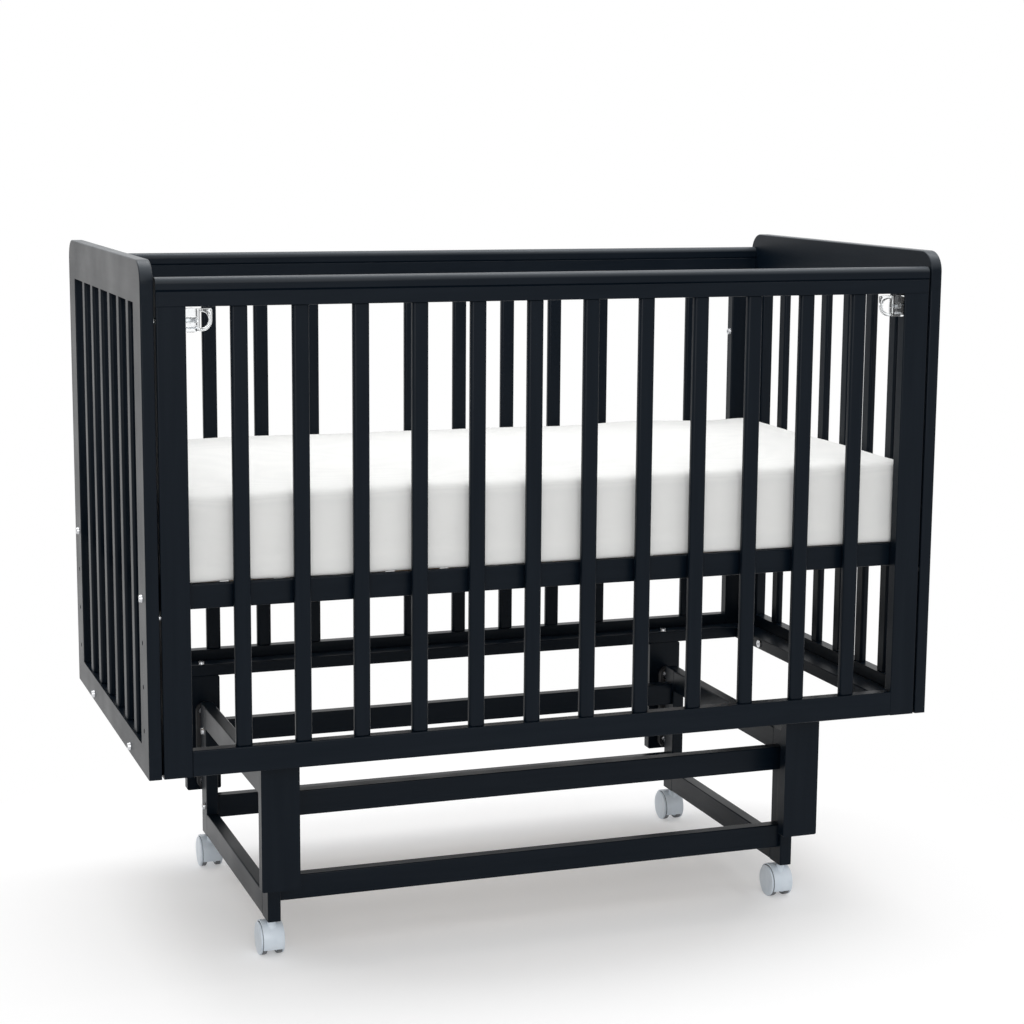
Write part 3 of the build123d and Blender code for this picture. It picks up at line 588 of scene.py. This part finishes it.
def new_object(
    name: str,
    shape: bmesh.types.BMesh,
    finish: bpy.types.Material,
    smooth_angle: float = 35.0,
) -> bpy.types.Object:
    """Turn a bmesh into an object at the origin, smooth up to an angle.

    Args:
        name: The object's name.
        shape: The bmesh, which is freed.
        finish: The object's material.
        smooth_angle: Edges sharper than this stay sharp, in degrees.

    Returns:
        The object.
    """
    limit = math.radians(smooth_angle)
    for face in shape.faces:
        face.smooth = True
    for edge in shape.edges:
        edge.smooth = edge.is_manifold and edge.calc_face_angle(0.0) < limit
    mesh = bpy.data.meshes.new(name)
    shape.to_mesh(mesh)
    shape.free()
    mesh.materials.append(finish)
    made = bpy.data.objects.new(name, mesh)
    bpy.context.scene.collection.objects.link(made)
    return made


def cover(nodes: Iterable[str], finish: bpy.types.Material) -> None:
    """Give CAD nodes a finish.

    Args:
        nodes: The CAD nodes.
        finish: The material.
    """
    for node in nodes:
        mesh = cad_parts[node].data
        mesh.materials.clear()
        mesh.materials.append(finish)
        log.info("dressed %s in %s", node, finish.name)


def merged_copy(node: str) -> bmesh.types.BMesh:
    """Copy a CAD node's mesh and merge its loose triangles.

    Args:
        node: The CAD node.

    Returns:
        The merged copy.
    """
    shape = bmesh.new()
    shape.from_mesh(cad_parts[node].data)
    bmesh.ops.remove_doubles(shape, verts=shape.verts, dist=WELD_DISTANCE)
    return shape


def line(start: Point, end: Point, count: int) -> list[Point]:
    """Give points along a straight stretch, without its end.

    Args:
        start: Where it starts.
        end: Where it ends.
        count: How many points.

    Returns:
        The points.
    """
    steps = [i / count for i in range(count)]
    return [(start[0] + s * (end[0] - start[0]), start[1] + s * (end[1] - start[1])) for s in steps]


def arc(centre: Point, radius: float, start: float, end: float, count: int) -> list[Point]:
    """Give points along an arc, without its end.

    Args:
        centre: The arc's centre.
        radius: Its radius.
        start: The angle where it starts, in degrees.
        end: The angle where it ends, in degrees.
        count: How many points.

    Returns:
        The points.
    """
    turns = [math.radians(start + i / count * (end - start)) for i in range(count)]
    return [(centre[0] + radius * math.cos(turn), centre[1] + radius * math.sin(turn)) for turn in turns]


def turned(
    shape: bmesh.types.BMesh,
    profile: Sequence[Point],
    centre: Vector,
    side: float = 1.0,
    steps: int = 56,
) -> None:
    """Turn a closed profile round an axis along X and add it to a shape.

    Args:
        shape: The shape that grows.
        profile: Pairs of distance along the axis and radius; two points on the axis stay unjoined.
        centre: A point on the axis, from which the distance counts.
        side: 1 to count towards +X, -1 towards -X.
        steps: How many faces go round.
    """
    points = [shape.verts.new(centre + Vector((side * along, 0.0, radius))) for along, radius in profile]
    edges = []
    for start, end, near, far in zip(points, points[1:] + points[:1], profile, profile[1:] + profile[:1]):
        if near[1] > 0.0 or far[1] > 0.0:
            edges.append(shape.edges.new((start, end)))
    bmesh.ops.spin(
        shape,
        geom=points + edges,
        cent=centre,
        axis=Vector((1.0, 0.0, 0.0)),
        angle=2 * math.pi,
        steps=steps,
        use_merge=True,
        use_duplicate=False,
    )


def closed(shape: bmesh.types.BMesh) -> bmesh.types.BMesh:
    """Merge a shape's doubles and turn its normals outwards.

    Args:
        shape: The shape.

    Returns:
        The same shape.
    """
    bmesh.ops.remove_doubles(shape, verts=shape.verts, dist=SAME_PLACE)
    bmesh.ops.recalc_face_normals(shape, faces=shape.faces)
    return shape


def rounded(
    shape: bmesh.types.BMesh,
    edges: Sequence[bmesh.types.BMEdge],
    radius: float,
    segments: int = 2,
) -> None:
    """Round some edges of a shape.

    Args:
        shape: The shape.
        edges: The edges.
        radius: The radius, in metres.
        segments: How many faces go round.
    """
    bmesh.ops.bevel(
        shape,
        geom=list(edges),
        offset=radius,
        offset_type="OFFSET",
        affect="EDGES",
        segments=segments,
        profile=0.5,
        material=-1,
        clamp_overlap=True,
    )


def placed(made: bpy.types.Object, body: str, slot: Slot, *nodes: str) -> bpy.types.Object:
    """Let a new piece ride a CAD body in the place of some of its nodes.

    Args:
        made: The piece.
        body: The CAD body that it moves with.
        slot: The record's material slot of its finish; not used.
        nodes: The CAD nodes that it stands for.

    Returns:
        The piece.
    """
    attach(made, body)
    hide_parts(*nodes)
    log.info("made %s with %d faces", made.name, len(made.data.polygons))
    return made


# Sub-assemblies


@dataclass
class Woodwork:
    """All painted boards, rails and slats, and the bare battens under the mattress."""

    along_x: tuple[str, ...] = (
        "long_beams",
        "long_bearers",
        "back_bottom_rail",
        "back_top_rail",
        "back_cap_rail",
        "drop_side_bottom_rail",
        "drop_side_top_rail",
        "drop_side_cap_rail",
        "bed_side_rails",
    )
    along_y: tuple[str, ...] = (
        "side_bars",
        "end_bearers",
        "left_end_bottom_rail",
        "right_end_bottom_rail",
        "left_end_top_board",
        "right_end_top_board",
        "bed_end_rails",
    )
    along_z: tuple[str, ...] = (
        "legs",
        "arms",
        "left_end_stiles",
        "right_end_stiles",
        "left_end_slats",
        "right_end_slats",
        "back_stiles",
        "back_slats",
        "drop_side_stiles",
        "drop_side_slats",
    )
    # Cap rails and top boards whose upper faces get a painted highlight, in the colour below.
    highlit_nodes: tuple[str, ...] = (
        "back_cap_rail",
        "drop_side_cap_rail",
        "left_end_top_board",
        "right_end_top_board",
    )
    painted_highlight: Colour = (0.074, 0.083, 0.093)
    arris: float = 0.0011
    arris_angle: float = 50.0

    def dress(self) -> None:
        """Give each board the paint whose grain runs along it, with a painted highlight on the cap rails
        and top boards.
        """
        runs = ((Grain.ALONG_X, self.along_x), (Grain.ALONG_Y, self.along_y), (Grain.ALONG_Z, self.along_z))
        for grain, nodes in runs:
            run = grain.name.lower()
            plain = [node for node in nodes if node not in self.highlit_nodes]
            cover(plain, SatinPaint(grain).material(f"satin_paint_{run}"))
            # These boards get the paint with the painted highlight on their upper faces.
            rubbed_and_highlit = [node for node in nodes if node in self.highlit_nodes]
            if rubbed_and_highlit:
                cover(rubbed_and_highlit, SatinPaint(grain, painted_highlight=self.painted_highlight).material(f"highlit_paint_{run}"))
            for node in nodes:
                self.ease(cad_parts[node])
        cover(("bed_battens",), BareWood().material("bare_pine"))

    def ease(self, board: bpy.types.Object) -> None:
        """Ease a board's sharp arrises, so that the joints between boards show.

        Args:
            board: The CAD object.
        """
        weld = board.modifiers.new("weld", "WELD")
        weld.merge_threshold = WELD_DISTANCE
        arris = board.modifiers.new("arris", "BEVEL")
        arris.width = self.arris
        arris.segments = 2
        arris.limit_method = "ANGLE"
        arris.angle_limit = math.radians(self.arris_angle)
        arris.use_clamp_overlap = True
        arris.harden_normals = False


@dataclass
class Hardware:
    """Bolts, nuts, pins, links and bearings."""

    steel: tuple[str, ...] = (
        "frame_bolts",
        "arm_bolts",
        "barrel_nuts",
        "body_bolts",
        "bed_bolts",
        "upper_pivot_pins",
        "lower_pivot_pins",
        "drop_side_pins",
    )

    def dress(self) -> None:
        """Give the metal parts their finishes."""
        zinc = ZincSteel().material("zinc_plate")
        coat = PowderCoat().material("black_powder_coat")
        cover(self.steel, zinc)
        for corner in Corner:
            name = corner.value
            cover((f"{name}_link_bearings", f"{name}_caster_pins"), zinc)
            cover((f"{name}_link",), coat)


@dataclass
class Casters:
    """Twin-wheel casters: crowned white discs with grey treads under a narrow hood."""

    hood_half_width: float = 0.0151
    hood_edge: float = 0.0012
    rim_depth: float = 0.0003
    disc: tuple[Point, ...] = (
        (0.0077, 0.0031),
        (0.0077, 0.0212),
        (0.0081, 0.0216),
        (0.0152, 0.0216),
        (0.0152, 0.0241),
        (0.0155, 0.0247),
        (0.0161, 0.0250),
        (0.0172, 0.0250),
        (0.0179, 0.0246),
        (0.0183, 0.0236),
        (0.0186, 0.0200),
        (0.0189, 0.0130),
        (0.0190, 0.0065),
        (0.0190, 0.0),
        (0.0147, 0.0),
        (0.0147, 0.0031),
    )
    tread: tuple[Point, ...] = (
        (0.0080, 0.0214),
        (0.0080, 0.0240),
        (0.0086, 0.0248),
        (0.0093, 0.0250),
        (0.0139, 0.0250),
        (0.0146, 0.0248),
        (0.0150, 0.0242),
        (0.0150, 0.0214),
    )

    def build(self) -> None:
        """Make the four casters and dress their sleeves in the legs."""
        white = MouldedPlastic().material("white_plastic")
        grey = MouldedPlastic(colour=(0.17, 0.18, 0.19), shade=(0.13, 0.138, 0.147), roughness=0.5)
        rubber = grey.material("tread_rubber")
        sleeve = MouldedPlastic(colour=(0.05, 0.052, 0.056), shade=(0.035, 0.037, 0.04), roughness=0.45)
        cover(("caster_sockets",), sleeve.material("sleeve_plastic"))
        for corner in Corner:
            name = corner.value
            wheels = f"{name}_caster_wheels"
            low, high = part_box(wheels)
            axle = (Vector(low) + Vector(high)) / 2
            discs = new_object(f"{name}_wheel_discs", self.lathe(self.disc, axle), white)
            placed(discs, f"{name}_wheels", Slot.WHITE_PLASTIC, wheels)
            treads = new_object(f"{name}_wheel_treads", self.lathe(self.tread, axle), rubber)
            placed(treads, f"{name}_wheels", Slot.SOCKET_PLASTIC, wheels)
            hood = new_object(f"{name}_hood_shell", self.trim_hood(f"{name}_caster_hood", axle), white)
            placed(hood, f"{name}_swivel", Slot.WHITE_PLASTIC, f"{name}_caster_hood")

    @staticmethod
    def lathe(profile: Sequence[Point], axle: Vector) -> bmesh.types.BMesh:
        """Turn one profile on both sides of a caster.

        Args:
            profile: Pairs of distance from the caster's middle and radius.
            axle: The middle of the axle.

        Returns:
            Both turned shapes.
        """
        shape = bmesh.new()
        for side in (-1.0, 1.0):
            turned(shape, profile, axle, side)
        return closed(shape)

    def trim_hood(self, node: str, axle: Vector) -> bmesh.types.BMesh:
        """Copy a CAD hood and take its edges back to the inside of the discs.

        Args:
            node: The CAD hood.
            axle: The middle of the axle.

        Returns:
            The narrower hood.
        """
        shape = merged_copy(node)
        for side in (-1.0, 1.0):
            face = axle.x + side * self.hood_half_width
            cut = bmesh.ops.bisect_plane(
                shape,
                geom=shape.verts[:] + shape.edges[:] + shape.faces[:],
                dist=1e-7,
                plane_co=(face, 0.0, 0.0),
                plane_no=(side, 0.0, 0.0),
                clear_outer=True,
            )
            rim = [e for e in cut["geom_cut"] if isinstance(e, bmesh.types.BMEdge)]
            bmesh.ops.holes_fill(shape, edges=rim, sides=0)
        closed(shape)
        outer = max(math.hypot(v.co.y - axle.y, v.co.z - axle.z) for v in shape.verts if v.co.z < axle.z)
        edges = []
        for edge in shape.edges:
            ends = [v.co for v in edge.verts]
            flat = all(abs(abs(c.x - axle.x) - self.hood_half_width) < WELD_DISTANCE for c in ends)
            far = all(math.hypot(c.y - axle.y, c.z - axle.z) > outer - self.rim_depth for c in ends)
            if flat and far:
                edges.append(edge)
        rounded(shape, edges, self.hood_edge)
        return shape


@dataclass
class Latches:
    """Clear blocks with springs and finger rings at the top of the drop side."""

    ring_length: float = 0.0222
    ring_height: float = 0.0315
    wall: float = 0.0045
    tip_corner: float = 0.0025
    thickness: float = 0.006
    edge: float = 0.0007
    sharp_angle: float = 60.0
    block_length: float = 0.016
    block_gap: float = 0.0003
    stem_radius: float = 0.0023
    head_radius: float = 0.004
    head_chamfer: float = 0.001
    bolt_steps: int = 32
    spring_radius: float = 0.0033
    wire_radius: float = 0.00045
    wire_sides: int = 8
    spring_turns: int = 5
    spring_steps: int = 24
    spring_start: float = 0.001
    spring_length: float = 0.0065

    def build(self) -> None:
        """Make the rings and springs, and dress the blocks."""
        clear = ClearPlastic().material("clear_plastic")
        zinc = ZincSteel().material("spring_wire")
        cover(("latch_blocks",), clear)
        block_low, block_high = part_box("latch_blocks")
        face = (block_high[0] - block_low[0]) / 2 - self.block_length
        springs = bmesh.new()
        for name, side in (("left", -1.0), ("right", 1.0)):
            node = f"{name}_latch_bolt"
            low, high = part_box(node)
            middle = (Vector(low) + Vector(high)) / 2
            seat = Vector((side * (face - self.block_gap), middle.y, middle.z))
            reach = max(abs(low[0]), abs(high[0])) - abs(seat.x)
            ring = new_object(f"{name}_latch_ring", self.ring(seat, side, reach), clear)
            placed(ring, f"{name}_latch", Slot.CLEAR_PLASTIC, node)
            self.coil(springs, seat, side)
        made = new_object("latch_springs", closed(springs), zinc)
        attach(made, "drop_side")

    def outlines(self) -> tuple[list[Point], list[Point]]:
        """Give the ring's outer outline and its D-shaped hole, point for point.

        Returns:
            Two outlines as pairs of distance from the block and height.
        """
        length, half, wall, corner = self.ring_length, self.ring_height / 2, self.wall, self.tip_corner
        hole = half - wall
        bend = length - wall - hole

        outer = line((0.0, -half), (0.0, half), 6)
        outer += line((0.0, half), (length - corner, half), 5)
        outer += arc((length - corner, half - corner), corner, 90.0, 0.0, 6)
        outer += line((length, half - corner), (length, 0.0), 6)
        outer += arc((length - half, 0.0), half, 0.0, -90.0, 12)
        outer += line((length - half, -half), (0.0, -half), 5)
        inner = line((wall, -hole), (wall, hole), 6)
        inner += line((wall, hole), (bend, hole), 5)
        inner += arc((bend, 0.0), hole, 90.0, 45.0, 6)
        inner += arc((bend, 0.0), hole, 45.0, 0.0, 6)
        inner += arc((bend, 0.0), hole, 0.0, -90.0, 12)
        inner += line((bend, -hole), (wall, -hole), 5)
        return outer, inner

    def ring(self, seat: Vector, side: float, reach: float) -> bmesh.types.BMesh:
        """Make one finger ring with its bolt.

        Args:
            seat: Where the bolt leaves the block.
            side: -1 for the left latch, 1 for the right one.
            reach: How far the bolt goes beyond the seat.

        Returns:
            The ring and its bolt.
        """
        shape = bmesh.new()
        loops = []
        for outline in self.outlines():
            for depth in (-self.thickness / 2, self.thickness / 2):
                loops.append([shape.verts.new(seat + Vector((-side * u, depth, z))) for u, z in outline])
        outer_front, outer_back, inner_front, inner_back = loops
        walls = ((outer_front, outer_back), (inner_front, inner_back))
        faces = ((outer_front, inner_front), (outer_back, inner_back))
        for first, second in walls + faces:
            for i in range(len(first)):
                shape.faces.new((first[i - 1], first[i], second[i], second[i - 1]))
        closed(shape)
        rims = []
        for rim in shape.edges:
            across = abs(rim.verts[0].co.y - rim.verts[1].co.y) > self.edge
            if rim.calc_face_angle(0.0) > math.radians(self.sharp_angle) and not across:
                rims.append(rim)
        rounded(shape, rims, self.edge)
        waist = self.block_length - self.spring_length - self.spring_start
        bolt = (
            (-self.wall / 2, 0.0),
            (-self.wall / 2, self.stem_radius),
            (waist, self.stem_radius),
            (waist, self.head_radius),
            (reach - self.head_chamfer, self.head_radius),
            (reach, self.head_radius - self.head_chamfer),
            (reach, 0.0),
        )
        turned(shape, bolt, seat, side, self.bolt_steps)
        return closed(shape)

    def coil(self, shape: bmesh.types.BMesh, seat: Vector, side: float) -> None:
        """Wind one latch spring.

        Args:
            shape: The shape that grows.
            seat: Where the bolt leaves the block.
            side: -1 for the left latch, 1 for the right one.
        """
        start = seat + Vector((side * self.spring_start, 0.0, self.spring_radius))
        made = bmesh.ops.create_circle(
            shape,
            cap_ends=True,
            segments=self.wire_sides,
            radius=self.wire_radius,
            matrix=Matrix.Translation(start) @ Matrix.Rotation(math.radians(90.0), 4, "X"),
        )
        edges = {e for v in made["verts"] for e in v.link_edges}
        steps = self.spring_steps * self.spring_turns
        bmesh.ops.spin(
            shape,
            geom=list(made["verts"]) + list(edges),
            cent=seat,
            axis=Vector((1.0, 0.0, 0.0)),
            dvec=Vector((side * self.spring_length / steps, 0.0, 0.0)),
            angle=2 * math.pi * self.spring_turns,
            steps=steps,
            use_duplicate=False,
        )


@dataclass
class Mattress:
    """The foam mattress in its knitted cover."""

    inset: float = 0.003
    corner_radius: float = 0.024
    corner_segments: int = 6
    top_radius: float = 0.016
    foot_radius: float = 0.005
    rim_segments: int = 5
    voxel: float = 0.011
    cloth_quality: int = 5
    cloth_mass: float = 0.3
    pressure: float = 4.0
    swell_cap: float = 0.0035
    frames: int = 20
    fill: float = 0.85
    flat_foot: float = 0.006
    foot_reach: float = 0.03
    wave_height: float = 0.0035
    wave_scale: float = 7.0

    def blank(self) -> bmesh.types.BMesh:
        """Make the block that swells into the mattress.

        Returns:
            The block, slightly smaller than the CAD solid.
        """
        low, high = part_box("mattress")
        low = low + Vector((self.inset, self.inset, 0.0))
        high = high - Vector((self.inset, self.inset, self.inset))
        shape = bmesh.new()
        size, centre = high - low, (high + low) / 2
        stretch = Matrix.Translation(centre) @ Matrix.Diagonal((*size, 1.0))
        bmesh.ops.create_cube(shape, size=1.0, matrix=stretch)
        uprights = [e for e in shape.edges if abs(e.verts[0].co.z - e.verts[1].co.z) > size.z / 2]
        rounded(shape, uprights, self.corner_radius, self.corner_segments)
        for level, radius in ((high.z, self.top_radius), (low.z, self.foot_radius)):
            rim = [e for e in shape.edges if all(abs(v.co.z - level) < SAME_PLACE for v in e.verts)]
            rounded(shape, rim, radius, self.rim_segments)
        return shape

    def build(self) -> bpy.types.Object:
        """Make the mattress and put it in the place of its CAD solid.

        Returns:
            The mattress.
        """
        cloth = KnitCover().material("knit_cover")
        made = new_object("mattress_cover", self.blank(), cloth, 180.0)
        self.swell(made)
        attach(made, "crib_body")
        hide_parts("mattress")
        log.info("made %s with %d faces", made.name, len(made.data.polygons))
        return made

    def swell(self, made: bpy.types.Object) -> None:
        """Let the cover swell by a short cloth simulation, with its move capped.

        Args:
            made: The block, which becomes the swollen mattress.
        """
        context = bpy.context
        context.view_layer.objects.active = made
        remesh = made.modifiers.new("remesh", "REMESH")
        remesh.mode = "VOXEL"
        remesh.voxel_size = self.voxel
        remesh.use_smooth_shade = True
        bpy.ops.object.modifier_apply(modifier=remesh.name)
        rest = [v.co.copy() for v in made.data.vertices]
        sim = made.modifiers.new("swell", "CLOTH")
        sim.settings.quality = self.cloth_quality
        sim.settings.mass = self.cloth_mass
        sim.settings.use_pressure = True
        sim.settings.uniform_pressure_force = self.pressure
        sim.settings.effector_weights.gravity = 0.0
        sim.point_cache.frame_start = 1
        sim.point_cache.frame_end = self.frames
        for step in range(1, self.frames + 1):
            context.scene.frame_set(step)
        depsgraph = context.evaluated_depsgraph_get()
        swollen = made.evaluated_get(depsgraph).to_mesh()
        moved = [v.co.copy() for v in swollen.vertices]
        made.evaluated_get(depsgraph).to_mesh_clear()
        made.modifiers.remove(sim)
        context.scene.frame_set(1)
        floor = min(point.z for point in rest)
        for vertex, start, end in zip(made.data.vertices, rest, moved):
            step = end - start
            if step.length > self.swell_cap:
                step.length = self.swell_cap
            point = start + step
            point.z += self.wave_height * noise.noise(point * self.wave_scale)
            vertex.co = point
        self.settle(made.data, floor)
        smooth = made.modifiers.new("round", "SUBSURF")
        smooth.levels = smooth.render_levels = 1

    def settle(self, mesh: bpy.types.Mesh, floor: float) -> None:
        """Press the foot of the cover flat on the battens and keep its lower edge straight.

        Args:
            mesh: The cover's mesh.
            floor: The height of the battens' top.
        """
        low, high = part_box("mattress")
        middle = (Vector(low) + Vector(high)) / 2
        stretch = self.foot_reach / (self.foot_reach - self.flat_foot)
        half = Vector((high[0] - low[0], high[1] - low[1], 0.0)) / 2
        for vertex in mesh.vertices:
            rise = vertex.co.z - floor
            if rise > self.foot_reach:
                continue
            vertex.co.z = floor + max(0.0, rise - self.flat_foot) * stretch
            share = 1.0 - max(0.0, rise) / self.foot_reach
            for axis in (0, 1):
                reach = vertex.co[axis] - middle[axis]
                edge = half[axis] - self.inset
                if abs(reach) > edge - self.corner_radius / 2:
                    straight = math.copysign(min(edge, abs(reach) + self.foot_radius), reach)
                    vertex.co[axis] = middle[axis] + reach + share * (straight - reach)


@dataclass(frozen=True)
class Softbox:
    """One soft studio lamp."""

    name: str
    place: tuple[float, float, float]
    aim: tuple[float, float, float]
    size: tuple[float, float]
    power: float

    def hang(self) -> None:
        """Make the lamp."""
        data = bpy.data.lights.new(self.name, "AREA")
        data.shape = "RECTANGLE"
        data.size, data.size_y = self.size
        data.energy = self.power
        lamp = bpy.data.objects.new(self.name, data)
        lamp.location = self.place
        lamp.rotation_mode = "QUATERNION"
        lamp.rotation_quaternion = (Vector(self.aim) - Vector(self.place)).to_track_quat("-Z", "Y")
        bpy.context.scene.collection.objects.link(lamp)


@dataclass
class Studio:
    """White floor, plain world, soft lamps and the camera."""

    floor_size: float = 60.0
    world_level: float = 0.62
    seen_level: float = 1.0
    lamps: tuple[Softbox, ...] = (
        Softbox("overhead_softbox", (0.25, 0.55, 3.3), (0.0, 0.0, 0.4), (4.2, 1.5), 78.0),
        Softbox("front_softbox", (-1.0, -4.6, 2.2), (0.0, 0.0, 0.5), (3.0, 2.2), 64.0),
    )
    camera_place: tuple[float, float, float] = (-1.1655, -3.3644, 1.2222)
    camera_yaw: float = -19.6086
    camera_pitch: float = -9.5586
    camera_roll: float = -0.4379
    focal_pixels: float = 2235.69
    picture_pixels: float = 1024.0
    sensor: float = 36.0

    def lay_floor(self) -> None:
        """Lay the floor."""
        shape = bmesh.new()
        bmesh.ops.create_grid(shape, x_segments=1, y_segments=1, size=self.floor_size / 2)
        floor = new_object("studio_floor", shape, StudioFloor().material("studio_floor"))

    def light(self) -> None:
        """Light the crib: a plain world that is seen white, and the lamps."""
        world = bpy.data.worlds.new("studio")
        bpy.context.scene.world = world
        world.use_nodes = True
        graph = Graph(world.node_tree)
        seen = graph.seen()
        lit = graph.node("ShaderNodeBackground", None, {"Color": WHITE, "Strength": self.world_level})
        shown = graph.node("ShaderNodeBackground", None, {"Color": WHITE, "Strength": self.seen_level})
        both = graph.node("ShaderNodeMixShader", None, {0: seen, 1: lit.outputs[0], 2: shown.outputs[0]})
        graph.node("ShaderNodeOutputWorld", None, {"Surface": both.outputs[0]})
        for lamp in self.lamps:
            lamp.hang()

    def set_camera(self) -> None:
        """Put the camera where the picture was taken from."""
        data = bpy.data.cameras.new("picture_camera")
        data.sensor_width = self.sensor
        data.lens = self.focal_pixels / self.picture_pixels * self.sensor
        data.clip_end = 100.0
        turn = (
            Matrix.Rotation(math.radians(self.camera_yaw), 4, "Z")
            @ Matrix.Rotation(math.radians(self.camera_pitch), 4, "X")
            @ Matrix.Rotation(math.radians(self.camera_roll), 4, "Y")
            @ Matrix.Rotation(math.radians(90.0), 4, "X")
        )
        camera = bpy.data.objects.new("picture_camera", data)
        camera.matrix_world = Matrix.Translation(self.camera_place) @ turn
        bpy.context.scene.collection.objects.link(camera)
        bpy.context.scene.camera = camera

    def build(self) -> None:
        """Set up the whole studio."""
        bpy.context.scene.view_settings.view_transform = "Standard"
        self.lay_floor()
        self.light()
        self.set_camera()


def main() -> None:
    """Build the whole scene in order."""
    logging.basicConfig(level=logging.INFO, format="%(name)s: %(message)s")
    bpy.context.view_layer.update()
    Studio().build()
    Woodwork().dress()
    Hardware().dress()
    Casters().build()
    Latches().build()
    Mattress().build()


if __name__ == "__main__":
    main()
